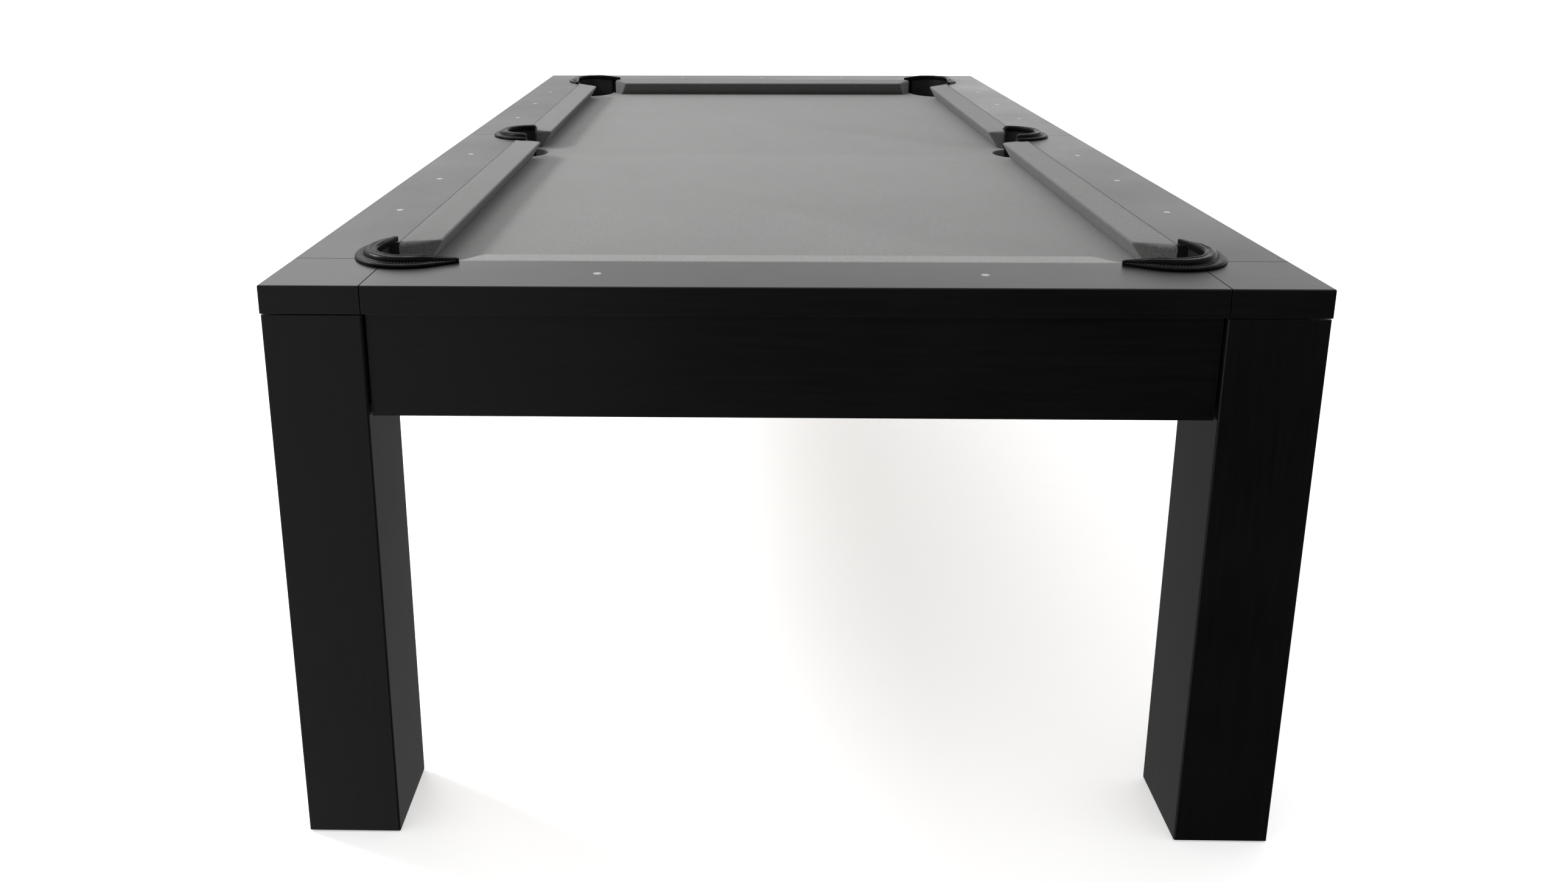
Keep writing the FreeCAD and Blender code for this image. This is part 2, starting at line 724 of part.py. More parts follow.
def slate_screws():
    """Countersunk screws along the long edges and beside both slate seams."""
    radius = SCREW_D / 2
    edge_x = NOSE_X + (BEAM_INNER_OUT + SLATE_OUT) / 2
    seam_step = SEAM_BEAM_W / 4
    quarter = NOSE_X / 4
    ys = [SLATE_SEAM_Y / 2, SLATE_SEAM_Y + SEAM_BEAM_W, NOSE_Y - CORNER_MOUTH - SEAM_BEAM_W]
    places = [(edge_x, y) for y in ys]
    places += [(k * quarter, SLATE_SEAM_Y + seam_step * e) for k in (1, 3) for e in (-1, 1)]
    screws = []
    for x, y in places:
        tip = vec(x, y, SLATE_LOW_Z - SCREW_GRIP)
        shank = rod(radius, tip, vec(0, 0, 1), SCREW_GRIP + SLATE_T)
        head = Part.makeCone(radius, SCREW_HEAD / 2, SCREW_HEAD_T,
                             vec(x, y, SLATE_TOP_Z - SCREW_HEAD_T))
        screws += four_corners(shank.fuse(head).removeSplitter())
    return screws


def side_bucket_room():
    """Room for the right side pocket's bucket, which passes beside the side beam."""
    radius = LINER_R + LINER_T + BUCKET_CLEAR
    return Part.makeCylinder(radius, BEAM_H, vec(NOSE_X + SIDE_SET, 0, BEAM_LOW_Z))


def make_frame():
    holes = frame_bolt_holes() + slate_screws()
    side_beam = slab(NOSE_X + BEAM_INNER_OUT, NOSE_X + BEAM_FACE_OUT, -NOSE_Y - BEAM_FACE_OUT,
                     NOSE_Y + BEAM_FACE_OUT, BEAM_LOW_Z, SLATE_LOW_Z).cut(side_bucket_room())
    end_beam = slab(-NOSE_X - BEAM_INNER_OUT, NOSE_X + BEAM_INNER_OUT, NOSE_Y + BEAM_INNER_OUT,
                    NOSE_Y + BEAM_FACE_OUT, BEAM_LOW_Z, SLATE_LOW_Z)
    seam_y = SLATE_SEAM_Y
    half = SEAM_BEAM_W / 2
    cross = slab(-NOSE_X - BEAM_INNER_OUT, NOSE_X + BEAM_INNER_OUT, seam_y - half, seam_y + half,
                 BEAM_LOW_Z, SLATE_LOW_Z)
    mid = slab(-BEAM_W / 2, BEAM_W / 2, half - seam_y, seam_y - half, BEAM_LOW_Z, SLATE_LOW_Z)
    outer = slab(-BEAM_W / 2, BEAM_W / 2, seam_y + half, NOSE_Y + BEAM_INNER_OUT,
                 BEAM_LOW_Z, SLATE_LOW_Z)
    for side_name, side in SIDES.items():
        save("side_beam_" + side_name, to_corner(side_beam, side, 1).cut(holes))
    for end_name, end in ENDS.items():
        save("end_beam_" + end_name, to_corner(end_beam, 1, end).cut(holes))
    save_group("seam_beams", [beam.cut(holes) for beam in (cross, flip_y(cross))])
    save_group("centre_beams", [mid, outer, flip_y(outer)])
    save_group("frame_bolts", [copy for bolt in frame_bolts() for copy in four_corners(bolt)])


def make_aprons():
    low = RAIL_TOP_Z - APRON_DROP
    top = SKIRT_Z - APRON_TOP_GAP
    reach = LEG_INNER_OUT - APRON_GAP
    end_apron = slab(-NOSE_X - reach, NOSE_X + reach, NOSE_Y + BEAM_FACE_OUT,
                     NOSE_Y + APRON_FACE_OUT, low, top)
    side_apron = slab(NOSE_X + BEAM_FACE_OUT, NOSE_X + APRON_FACE_OUT, -NOSE_Y - reach,
                      NOSE_Y + reach, low, top)
    for end_name, end in ENDS.items():
        save("apron_" + end_name, to_corner(end_apron, 1, end))
    for side_name, side in SIDES.items():
        save("apron_" + side_name, to_corner(side_apron, side, 1))


# ---------------------------------------------------------------- legs and feet


def foot_axis():
    return corner_point(LEG_MID_OUT, LEG_MID_OUT)


def on_foot(z):
    return foot_axis() + vec(0, 0, z)


def make_leg():
    """Square post whose top is rebated to carry the frame on a shoulder."""
    top = SKIRT_Z - LEG_TOP_GAP
    post = corner_slab(LEG_INNER_OUT, LEG_FACE_OUT, LEG_INNER_OUT, LEG_FACE_OUT, FOOT_PROUD, top)
    post = round_edges(post, LEG_ARRIS, is_upright)
    rebate = corner_slab(LEG_INNER_OUT - 1, BEAM_FACE_OUT, LEG_INNER_OUT - 1, BEAM_FACE_OUT,
                         BEAM_LOW_Z, top)
    recess_top = PAD_T + HUB_H + RECESS_ROOM
    recess = Part.makeCylinder(PAD_D / 2 + RECESS_CLEAR, recess_top - FOOT_PROUD, on_foot(FOOT_PROUD))
    insert = Part.makeCylinder(INSERT_D / 2, INSERT_L, on_foot(recess_top))
    stem_room = Part.makeCylinder(STEM_D / 2 + FOOT_CLEAR, STEM_L + RECESS_ROOM, on_foot(recess_top))
    return post.cut([rebate, recess, insert, stem_room] + frame_bolt_holes())


def make_pad():
    disc = Part.makeCylinder(PAD_D / 2, PAD_T, on_foot(0))
    disc = round_edges(disc, PAD_T / 4, lambda e: e.Length > PAD_D)
    hub = Part.makeCylinder(HUB_D / 2, PAD_T + HUB_H, on_foot(0))
    seat = Part.makeCylinder(STEM_D / 2 + FOOT_CLEAR, PAD_T + HUB_H, on_foot(STEM_SEAT_Z))
    return disc.fuse(hub).cut(seat).removeSplitter()


def make_stem():
    stem = Part.makeCylinder(STEM_D / 2, STEM_L, on_foot(STEM_SEAT_Z))
    rims = [edge for edge in stem.Edges if len(edge.Vertexes) == 1]
    return stem.makeChamfer(STEM_CHAMFER, rims)


def make_insert():
    low = on_foot(PAD_T + HUB_H + RECESS_ROOM)
    sleeve = Part.makeCylinder(INSERT_D / 2, INSERT_L, low)
    return sleeve.cut(Part.makeCylinder(STEM_D / 2 + FOOT_CLEAR, INSERT_L, low))


def make_legs():
    leg = make_leg()
    pad = make_pad()
    stem = make_stem()
    for side_name, side in SIDES.items():
        for end_name, end in ENDS.items():
            place = side_name + "_" + end_name
            save("leg_" + place, to_corner(leg, side, end))
            save("foot_pad_" + place, to_corner(pad, side, end))
            save("foot_stem_" + place, to_corner(stem, side, end))
    save_group("foot_inserts", four_corners(make_insert()))


make_bed()
make_rails()
make_corner_blocks()
make_pockets()
make_frame()
make_aprons()
make_legs()
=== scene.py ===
import math

import bmesh
import bpy
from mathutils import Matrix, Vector, noise


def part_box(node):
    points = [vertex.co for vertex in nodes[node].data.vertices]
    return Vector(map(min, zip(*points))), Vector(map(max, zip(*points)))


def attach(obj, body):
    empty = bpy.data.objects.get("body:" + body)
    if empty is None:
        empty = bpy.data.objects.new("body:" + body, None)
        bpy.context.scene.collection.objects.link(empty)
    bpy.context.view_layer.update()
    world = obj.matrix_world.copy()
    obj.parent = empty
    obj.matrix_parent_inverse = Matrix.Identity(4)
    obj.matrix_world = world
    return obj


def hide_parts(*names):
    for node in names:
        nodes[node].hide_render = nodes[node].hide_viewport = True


# A drop-pocket pool table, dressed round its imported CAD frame. Lengths are in metres.
# In corner plans (a, b) are distances outward of the two cushion nose lines.
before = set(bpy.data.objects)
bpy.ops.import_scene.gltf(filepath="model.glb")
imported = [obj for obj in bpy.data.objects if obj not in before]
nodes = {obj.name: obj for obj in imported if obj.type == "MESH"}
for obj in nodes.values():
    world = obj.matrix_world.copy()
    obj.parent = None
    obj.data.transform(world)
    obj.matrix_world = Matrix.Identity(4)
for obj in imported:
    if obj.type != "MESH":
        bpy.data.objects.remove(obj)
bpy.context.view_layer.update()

# ---------------------------------------------------------------- sizes read from the frame

NOSE_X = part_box("cushion_cloth_right_far")[0].x
NOSE_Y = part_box("cushion_cloth_far")[0].y
RAIL_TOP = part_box("rail_far")[1].z
BED_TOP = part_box("bed_cloth")[1].z
BED_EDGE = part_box("bed_cloth")[1].x - NOSE_X
SEAM_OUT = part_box("cushion_cloth_far")[1].y - NOSE_Y
CUSHION_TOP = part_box("cushion_cloth_far")[1].z
CUSHION_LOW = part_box("cushion_cloth_far")[0].z
TIP_REACH = NOSE_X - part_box("pocket_collar_right_far")[0].x
SIDE_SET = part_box("pocket_collar_right")[0].x - NOSE_X
COLLAR_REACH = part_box("pocket_collar_right")[1].y
COLLAR_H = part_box("pocket_collar_right")[1].z - RAIL_TOP

# ---------------------------------------------------------------- named sizes

NOSE_DROP = 0.0045
NOSE_R = 0.003
UNDERCUT = 0.022
CORNER_MOUTH = 0.079
CORNER_LEAN = math.tan(math.radians(34))
SIDE_MOUTH = 0.072
SIDE_LEAN = math.tan(math.radians(13))
FACING_ROUND = 0.0030
SEAM_ROUND = 0.0075
SEAM_TUCK = 0.0003
SEAM_GAP = 0.0002
HEEL_LIFT = 0.0004
HEEL_PULL = (0.6, 0)
BACK_DROP = 0.012
ROUND_STEPS = 7
NOSE_STEPS = 8
CUSHION_SPANS = 12
END_INSET = 0.05

POCKET_R = 0.050
CORNER_SET = 0.012
ARM_OUT = CORNER_SET + POCKET_R
LINER_SIDE = 0.0035

CORNER_SHELF = 0.0085
CORNER_JAW = CORNER_MOUTH - (ARM_OUT + LINER_SIDE) * CORNER_LEAN + 0.0005
CORNER_ARC_OUT = ARM_OUT - 0.003
SIDE_BED_R = 0.056
SIDE_BED_REACH = 0.004
BED_ARC_STEPS = 40
LIP_R = 0.0024
LIP_STEPS = 5
CLOTH_T = 0.0008
CLOTH_GAP = 0.00005
WRAP_DEPTH = 0.0245

COLLAR_W = COLLAR_REACH - POCKET_R
ROLL_W = 0.018
TIP_W = 0.006
ARM_STEPS = 44
BEND_STEPS = 40
SIDE_STEPS = 88
SECTION_STEPS = 3
TIP_SHRINK = 0.16
TIP_STATIONS = 3
SLACK = 0.00035
FINE_SLACK = 0.00012

STITCH_PITCH = 0.0043
STITCH_L = 0.0030
STITCH_R = 0.00038
STITCH_OUT = 0.0019
STITCH_SIDES = 6
# Along each stitch: (share of its length, share of its radius, lift in radii).
STITCH_PROFILE = [(0.0, 0.35, -0.6), (0.12, 0.8, 0.0), (0.35, 1.0, 0.45),
                  (0.65, 1.0, 0.45), (0.88, 0.8, 0.0), (1.0, 0.35, -0.6)]

FLOOR_HALF = 40.0
CAMERA_LENS = 26.54
CAMERA_SHIFT = (0.0398, -0.1436)
CAMERA_PLACE = (-0.064, -2.520, RAIL_TOP + 0.4126)
CAMERA_TURN = (76.68, 0.045, 0.965)

SIDES = {"left": -1, "right": 1}
ENDS = {"near": -1, "far": 1}


def smoothstep(low, high, value):
    t = min(max((value - low) / (high - low), 0.0), 1.0)
    return t * t * (3 - 2 * t)


def mix(first, second, t):
    return first + (second - first) * t


# ---------------------------------------------------------------- materials


class Paint:
    """Builds one node material round a Principled shader."""

    def __init__(self, name):
        self.material = bpy.data.materials.new(name)
        self.material.use_nodes = True
        self.tree = self.material.node_tree
        self.shader = self.tree.nodes["Principled BSDF"]
        source = self.tree.nodes.new("ShaderNodeTexCoord")
        self.place = source.outputs["Object"]

    def link(self, value, socket):
        """Sets a socket to a number or colour, or links an output to it."""
        if isinstance(value, tuple):
            socket.default_value = (*value, 1)
        elif isinstance(value, (int, float)):
            socket.default_value = value
        else:
            self.tree.links.new(value, socket)

    def stretched(self, x, y, z):
        mapping = self.tree.nodes.new("ShaderNodeMapping")
        mapping.inputs["Scale"].default_value = (x, y, z)
        self.link(self.place, mapping.inputs["Vector"])
        return mapping.outputs["Vector"]

    def noise(self, scale, detail=3.0, roughness=0.55, place=None):
        made = self.tree.nodes.new("ShaderNodeTexNoise")
        made.inputs["Scale"].default_value = scale
        made.inputs["Detail"].default_value = detail
        made.inputs["Roughness"].default_value = roughness
        self.link(place or self.place, made.inputs["Vector"])
        return made.outputs["Fac"]

    def cells(self, scale):
        made = self.tree.nodes.new("ShaderNodeTexVoronoi")
        made.inputs["Scale"].default_value = scale
        self.link(self.place, made.inputs["Vector"])
        return made.outputs["Distance"]

    def weave(self, pitch):
        """Height of a plain weave of threads, this far apart."""
        turns = math.tau / pitch
        across = self.tree.nodes.new("ShaderNodeSeparateXYZ")
        self.link(self.place, across.inputs["Vector"])
        ways = []
        for axis in ("X", "Y"):
            shifted = self.math("ADD", across.outputs[axis], across.outputs["Z"])
            ways.append(self.math("SINE", self.math("MULTIPLY", shifted, turns), 0))
        return self.math("MULTIPLY", *ways)

    def math(self, operation, first, second):
        made = self.tree.nodes.new("ShaderNodeMath")
        made.operation = operation
        self.link(first, made.inputs[0])
        self.link(second, made.inputs[1])
        return made.outputs["Value"]

    def span(self, factor, low, high, start=0.3, stop=0.7):
        """Number that goes from low to high while factor goes from start to stop."""
        made = self.tree.nodes.new("ShaderNodeMapRange")
        self.link(factor, made.inputs["Value"])
        for name, value in (("From Min", start), ("From Max", stop),
                            ("To Min", low), ("To Max", high)):
            made.inputs[name].default_value = value
        return made.outputs["Result"]

    def blend(self, factor, first, second):
        made = self.tree.nodes.new("ShaderNodeMix")
        made.data_type = "RGBA"
        self.link(factor, made.inputs["Factor"])
        self.link(first, made.inputs[6])
        self.link(second, made.inputs[7])
        return made.outputs[2]

    def bump(self, height, distance, under=None):
        made = self.tree.nodes.new("ShaderNodeBump")
        made.inputs["Distance"].default_value = distance
        self.link(height, made.inputs["Height"])
        if under is not None:
            self.link(under, made.inputs["Normal"])
        return made.outputs["Normal"]

    def edges(self, radius):
        """Number that is 0 on open faces and grows at edges sharper than radius."""
        bevel = self.tree.nodes.new("ShaderNodeBevel")
        bevel.samples = 4
        bevel.inputs["Radius"].default_value = radius
        flat = self.tree.nodes.new("ShaderNodeNewGeometry")
        dot = self.tree.nodes.new("ShaderNodeVectorMath")
        dot.operation = "DOT_PRODUCT"
        self.link(bevel.outputs["Normal"], dot.inputs[0])
        self.link(flat.outputs["Normal"], dot.inputs[1])
        return self.span(dot.outputs["Value"], 1, 0, 0.75, 0.97)

    def set(self, **values):
        """Sets or links shader sockets, whose names are given with _ for a space."""
        for name, value in values.items():
            self.link(value, self.shader.inputs[name.replace("_", " ")])


def painted_wood(name, grain_axis):
    """Satin graphite paint over a fine straight grain along one axis."""
    paint = Paint(name)
    stretch = [230.0, 230.0, 230.0]
    stretch[grain_axis] = 9.0
    grain = paint.noise(1.0, 3, 0.6, paint.stretched(*stretch))
    cloud = paint.noise(4.0)
    mottle = paint.noise(700.0, 2)
    rubbed = paint.math("MULTIPLY", paint.edges(0.0011), paint.span(paint.noise(90.0), 0.1, 0.8))
    tone = paint.blend(paint.span(grain, 0, 1), (0.0016, 0.0016, 0.0017), (0.0032, 0.0032, 0.0033))
    tone = paint.blend(paint.span(cloud, 0, 0.5), tone, (0.0040, 0.0040, 0.0041))
    gloss = paint.math("ADD", paint.span(cloud, 0.31, 0.36), paint.span(grain, -0.008, 0.012))
    paint.set(Base_Color=paint.blend(rubbed, tone, (0.030, 0.030, 0.031)))
    paint.set(Roughness=paint.math("SUBTRACT", gloss, paint.math("MULTIPLY", rubbed, 0.08)))
    paint.set(Normal=paint.bump(mottle, 0.00002, paint.bump(grain, 0.000012)))
    paint.set(Specular_IOR_Level=0.22)
    return paint.material


def felt(name, light):
    """Napped grey cloth: speckled wool fibres over a close weave."""
    paint = Paint(name)
    fibre = paint.noise(780.0, 3, 0.7)
    fleck = paint.noise(330.0, 2, 0.6)
    worn = paint.noise(5.0, 3)
    # light scales every tone of the cloth; the near cushion's copy is made brighter as painted sheen
    dark = tuple(light * value for value in (0.056, 0.0575, 0.0555))
    middle = tuple(light * value for value in (0.118, 0.1205, 0.1165))
    pale = tuple(light * value for value in (0.202, 0.206, 0.199))
    tone = paint.blend(paint.span(fibre, 0, 1, 0.36, 0.62), dark, pale)
    flecked = paint.blend(paint.span(fleck, 0, 0.6, 0.45, 0.7), tone, pale)
    height = paint.math("ADD", paint.math("MULTIPLY", paint.weave(0.0011), 0.25), fibre)
    paint.set(Base_Color=paint.blend(paint.span(worn, 0, 0.35), flecked, middle))
    paint.set(Roughness=paint.span(fleck, 0.86, 0.96))
    paint.set(Normal=paint.bump(height, 0.00045))
    paint.set(Sheen_Weight=0.25, Sheen_Roughness=0.45, Specular_IOR_Level=0.15)
    return paint.material


def leather(name):
    """Black pebbled leather, glossier on its creases."""
    paint = Paint(name)
    pebble = paint.cells(1150.0)
    crease = paint.noise(160.0, 5, 0.65)
    cloud = paint.noise(22.0)
    pores = paint.noise(3200.0, 2)
    tone = paint.blend(paint.span(crease, 0, 1), (0.0010,) * 3, (0.0024, 0.0024, 0.0025))
    height = paint.math("ADD", pebble, paint.math("MULTIPLY", crease, 0.9))
    paint.set(Base_Color=paint.blend(paint.span(cloud, 0, 0.5), tone, (0.0034, 0.0034, 0.0035)))
    paint.set(Roughness=paint.math("ADD", paint.span(crease, 0.30, 0.22), paint.span(cloud, 0, 0.07)))
    paint.set(Normal=paint.bump(pores, 0.00001, paint.bump(height, 0.00006)))
    paint.set(Specular_IOR_Level=0.035)
    return paint.material


def thread(name):
    """Waxed dark grey thread with a twist."""
    paint = Paint(name)
    twist = paint.noise(1.0, 2, 0.5, paint.stretched(5200, 1900, 5200))
    tone = paint.blend(paint.span(twist, 0, 1), (0.010, 0.010, 0.0102), (0.042, 0.042, 0.0415))
    paint.set(Base_Color=tone)
    paint.set(Roughness=paint.span(twist, 0.38, 0.55))
    paint.set(Normal=paint.bump(twist, 0.0001))
    return paint.material


def moulded_black(name, roughness):
    """Black moulded plastic or rubber with a fine spark texture."""
    paint = Paint(name)
    spark = paint.noise(1300.0, 2, 0.6)
    cloud = paint.noise(14.0)
    paint.set(Base_Color=paint.blend(paint.span(cloud, 0, 1), (0.0035, 0.0035, 0.0036),
                                     (0.0075, 0.0075, 0.0077)))
    paint.set(Roughness=paint.span(cloud, roughness - 0.05, roughness + 0.07))
    paint.set(Normal=paint.bump(spark, 0.00008), Specular_IOR_Level=0.2)
    return paint.material


def pearl(name):
    """Pale shell inlay whose layers turn slowly from cool to warm."""
    paint = Paint(name)
    layers = paint.noise(210.0, 3, 0.5)
    grainy = paint.noise(1100.0, 3)
    cool = paint.blend(paint.span(layers, 0, 1), (0.15, 0.155, 0.152), (0.22, 0.215, 0.20))
    paint.set(Base_Color=paint.blend(paint.span(grainy, 0, 0.3), cool, (0.27, 0.27, 0.26)))
    paint.set(Roughness=paint.span(layers, 0.3, 0.42))
    paint.set(Normal=paint.bump(layers, 0.00003))
    paint.set(Specular_IOR_Level=0.3)
    return paint.material


def stone(name):
    """Honed slate with faint bedding and pale flecks."""
    paint = Paint(name)
    bedding = paint.noise(1.0, 5, 0.6, paint.stretched(6, 14, 160))
    fleck = paint.noise(500.0, 3)
    tone = paint.blend(paint.span(bedding, 0, 1), (0.055, 0.060, 0.066), (0.105, 0.110, 0.115))
    paint.set(Base_Color=paint.blend(paint.span(fleck, 0, 0.5, 0.55, 0.8), tone, (0.22, 0.22, 0.22)))
    paint.set(Roughness=paint.span(bedding, 0.62, 0.78))
    paint.set(Normal=paint.bump(fleck, 0.0001, paint.bump(bedding, 0.0003)))
    return paint.material


def timber(name):
    """Planed pale softwood with rings drawn out along the beam."""
    paint = Paint(name)
    rings = paint.noise(1.0, 4, 0.6, paint.stretched(60, 3.5, 60))
    pores = paint.noise(1.0, 3, 0.6, paint.stretched(900, 30, 900))
    tone = paint.blend(paint.span(rings, 0, 1), (0.46, 0.30, 0.155), (0.62, 0.44, 0.255))
    paint.set(Base_Color=paint.blend(paint.span(pores, 0, 0.35), tone, (0.34, 0.20, 0.10)))
    paint.set(Roughness=paint.span(pores, 0.55, 0.7))
    paint.set(Normal=paint.bump(pores, 0.00012))
    return paint.material


def metal(name, dark, pale, roughness):
    """Plated metal with drawn scratches and a cloudy finish."""
    paint = Paint(name)
    cloud = paint.noise(60.0, 4)
    drawn = paint.noise(1.0, 3, 0.6, paint.stretched(400, 400, 4000))
    paint.set(Base_Color=paint.blend(paint.span(cloud, 0, 1), dark, pale), Metallic=1.0)
    paint.set(Roughness=paint.span(cloud, roughness - 0.06, roughness + 0.08))
    paint.set(Normal=paint.bump(drawn, 0.00003))
    return paint.material


def gum_rubber(name):
    paint = Paint(name)
    cloud = paint.noise(30.0)
    skin = paint.noise(900.0, 2)
    paint.set(Base_Color=paint.blend(paint.span(cloud, 0, 1), (0.36, 0.20, 0.09), (0.47, 0.28, 0.13)))
    paint.set(Roughness=paint.span(cloud, 0.5, 0.62))
    paint.set(Normal=paint.bump(skin, 0.00006))
    return paint.material


def floor_paint(name):
    """Pale matte studio floor."""
    paint = Paint(name)
    cloud = paint.noise(1.2)
    paint.set(Base_Color=paint.blend(paint.span(cloud, 0, 1), (0.72, 0.72, 0.72), (0.74, 0.74, 0.74)))
    paint.set(Roughness=paint.span(cloud, 0.85, 0.95))
    paint.set(Emission_Color=(1.0, 1.0, 1.0), Emission_Strength=0.45)
    return paint.material


WOOD_X = painted_wood("painted_wood_across", 0)
WOOD_Y = painted_wood("painted_wood_along", 1)
WOOD_Z = painted_wood("painted_wood_upright", 2)
BED_FELT = felt("bed_felt", 0.86)
CUSHION_FELT = felt("cushion_felt", 0.69)
# Brighter copy of the cushion felt for the near cushion: painted sheen where its top catches the
# light, the same cloth as the other cushions
NEAR_FELT_PAINTED_SHEEN = felt("near_cushion_felt_painted_sheen", 1.08)
LEATHER = leather("collar_leather")
THREAD = thread("collar_thread")
LINER = moulded_black("liner_plastic", 0.55)
PAD = moulded_black("pad_rubber", 0.7)
PEARL = pearl("sight_pearl")
SLATE = stone("honed_slate")
TIMBER = timber("beam_timber")
STEEL = metal("zinc_plate", (0.50, 0.51, 0.53), (0.66, 0.67, 0.68), 0.32)
BRASS = metal("insert_brass", (0.62, 0.44, 0.18), (0.78, 0.58, 0.27), 0.3)
RUBBER = gum_rubber("cushion_gum")

FINISHES = {
    "rail_near": WOOD_X, "rail_far": WOOD_X, "rail_left": WOOD_Y, "rail_right": WOOD_Y,
    "rail_bolts": STEEL, "corner_block": WOOD_X, "apron_near": WOOD_X, "apron_far": WOOD_X,
    "apron_left": WOOD_Y, "apron_right": WOOD_Y, "leg": WOOD_Z, "pocket_liner": LINER,
    "sights": PEARL, "slate_near": SLATE, "slate_middle": SLATE, "slate_far": SLATE,
    "slate_screws": STEEL, "side_beam": TIMBER, "end_beam": TIMBER, "seam_beams": TIMBER,
    "centre_beams": TIMBER, "frame_bolts": STEEL, "foot_inserts": BRASS, "foot_stem": STEEL,
    "foot_pad": PAD, "cushion_rubbers": RUBBER, "cushion_cloth": CUSHION_FELT,
    "bed_cloth": BED_FELT, "pocket_collar": LEATHER,
}


def finish_nodes():
    """Gives each CAD node the finish whose key is the longest start of its name."""
    for name, obj in nodes.items():
        key = max((key for key in FINISHES if name.startswith(key)), key=len)
        for held in obj.material_slots:
            held.material = FINISHES[key]


# ---------------------------------------------------------------- mesh helpers


def add_piece(name, build, material, sharp_degrees=38):
    """A new object on the table's body, from the bmesh that build fills."""
    bm = bmesh.new()
    build(bm)
    bmesh.ops.recalc_face_normals(bm, faces=bm.faces)
    mesh = bpy.data.meshes.new(name)
    bm.to_mesh(mesh)
    bm.free()
    mesh.shade_smooth()
    mesh.set_sharp_from_angle(angle=math.radians(sharp_degrees))
    mesh.materials.append(material)
    piece = bpy.data.objects.new(name, mesh)
    bpy.context.scene.collection.objects.link(piece)
    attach(piece, "table")
    return piece


def skin_rings(bm, rings):
    """Quads between closed rings of points, with a face over each end."""
    made = [[bm.verts.new(point) for point in ring] for ring in rings]
    count = len(made[0])
    for first, second in zip(made, made[1:]):
        for k in range(count):
            after = (k + 1) % count
            bm.faces.new((first[k], first[after], second[after], second[k]))
    bm.faces.new(made[0])
    bm.faces.new(made[-1])


def round_arc(centre, radius, start, stop, steps):
    """Points on a circle as (a, b), with angles in radians."""
    angles = [mix(start, stop, k / steps) for k in range(steps + 1)]
    return [(centre[0] + radius * math.cos(t), centre[1] + radius * math.sin(t)) for t in angles]


# ---------------------------------------------------------------- bed cloth


def corner_arc():
    """Circle through the corner shelf and both ends of its bed edge: centre, radius, angles."""
    jaw = CORNER_JAW
    out = CORNER_ARC_OUT
    set_back = (jaw ** 2 + out ** 2 - 2 * CORNER_SHELF ** 2) / (2 * (out - jaw + 2 * CORNER_SHELF))
    radius = math.sqrt(2) * (set_back + CORNER_SHELF)
    start = math.atan2(out - set_back, -jaw - set_back)
    return (set_back, set_back), radius, start, 2 * math.pi + math.pi / 2 - start


def corner_edge():
    """Far right bed edge, from the end rail round to the side rail, as (a, b, away) points.

    away is the unit direction from the hole to the cloth where the cloth rolls over the
    slate's edge, and None where the edge is under a rail.
    """
    centre, radius, start, stop = corner_arc()
    edge = [(-CORNER_JAW, BED_EDGE, None)]
    for a, b in round_arc(centre, radius, start, stop, BED_ARC_STEPS):
        edge.append((a, b, ((centre[0] - a) / -radius, (centre[1] - b) / -radius)))
    edge.append((BED_EDGE, -CORNER_JAW, None))
    return edge


def side_edge():
    """Right bed edge at the side pocket, from far to near, as (a, y, away) points."""
    centre = SIDE_BED_R - SIDE_BED_REACH
    reach = math.acos((SIDE_SET - centre) / SIDE_BED_R)
    slot = POCKET_R + LINER_SIDE
    edge = [(BED_EDGE, slot, None), (SIDE_SET, slot, None)]
    for a, y in round_arc((centre, 0), SIDE_BED_R, reach, 2 * math.pi - reach, BED_ARC_STEPS):
        edge.append((a, y, ((a - centre) / SIDE_BED_R, y / SIDE_BED_R)))
    return edge + [(SIDE_SET, -slot, None), (BED_EDGE, -slot, None)]


def placed_corner(side, end):
    points = []
    for a, b, away in corner_edge():
        turned = away and (side * away[0], end * away[1])
        points.append((side * (NOSE_X + a), end * (NOSE_Y + b), turned))
    return points if side == end else points[::-1]


def placed_side(side):
    points = []
    for a, y, away in side_edge():
        turned = away and (side * away[0], away[1])
        points.append((side * (NOSE_X + a), y, turned))
    return points if side > 0 else points[::-1]


def bed_outline():
    """The whole bed edge, clockwise from the far right pocket."""
    return (placed_corner(1, 1) + placed_side(1) + placed_corner(1, -1)
            + placed_corner(-1, -1) + placed_side(-1) + placed_corner(-1, 1))


def bed_column(x, y, away):
    """Points down the cloth's edge, from its top face round to its under face."""
    under = BED_TOP - CLOTH_T
    if away is None:
        return [(x, y, BED_TOP), (x, y, under)]
    column = []
    for k in range(LIP_STEPS + 1):
        angle = math.pi / 2 * k / LIP_STEPS
        back = LIP_R * (1 - math.sin(angle)) - CLOTH_T
        drop = LIP_R * (1 - math.cos(angle))
        column.append((x + away[0] * back, y + away[1] * back, BED_TOP - drop))
    low = BED_TOP - WRAP_DEPTH
    front = CLOTH_T
    column.append((x - away[0] * front, y - away[1] * front, low))
    column.append((x - away[0] * CLOTH_GAP, y - away[1] * CLOTH_GAP, low))
    column.append((x - away[0] * CLOTH_GAP, y - away[1] * CLOTH_GAP, under))
    return column


def build_bed(bm):
    columns = [[bm.verts.new(point) for point in bed_column(*place)] for place in bed_outline()]
    for first, second in zip(columns, columns[1:] + columns[:1]):
        if len(first) == len(second):
            for k in range(len(first) - 1):
                bm.faces.new((first[k], first[k + 1], second[k + 1], second[k]))
        else:
            bm.faces.new(first + second[::-1])
    bm.faces.new([column[0] for column in columns])
    bm.faces.new([column[-1] for column in columns])


